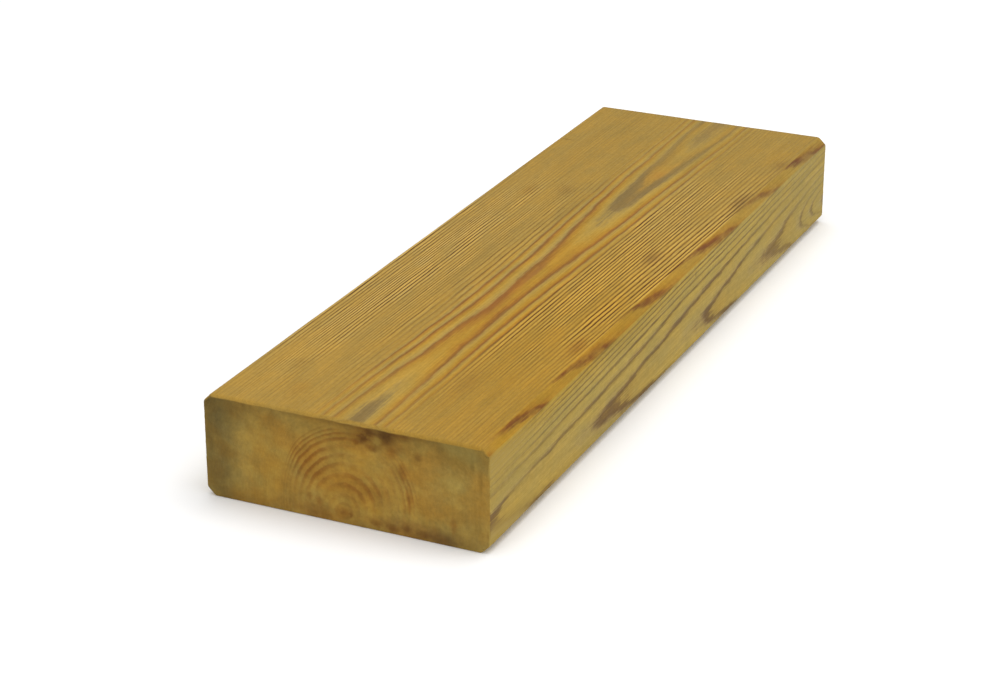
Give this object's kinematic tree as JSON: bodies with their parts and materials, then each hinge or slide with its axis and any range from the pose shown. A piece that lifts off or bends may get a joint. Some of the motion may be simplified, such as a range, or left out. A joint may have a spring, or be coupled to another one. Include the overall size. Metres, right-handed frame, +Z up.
{
  "type": "timber plank",
  "caption": "Planed softwood plank with eased long arrises and square cross-cut ends, a length of stock for framing, shelving or decking work.",
  "frame": {"origin": "middle of the underside, where the plank lies on the floor", "axes": "+X along the grain, from the end nearest the picture's camera to the far end; +Y across the width; +Z up through the thickness"},
  "size_m": [0.4, 0.125, 0.045],
  "materials": {
    "timber": "matte"
  },
  "bodies": {
    "root": {"plank": "timber"}
  },
  "joints": []
}
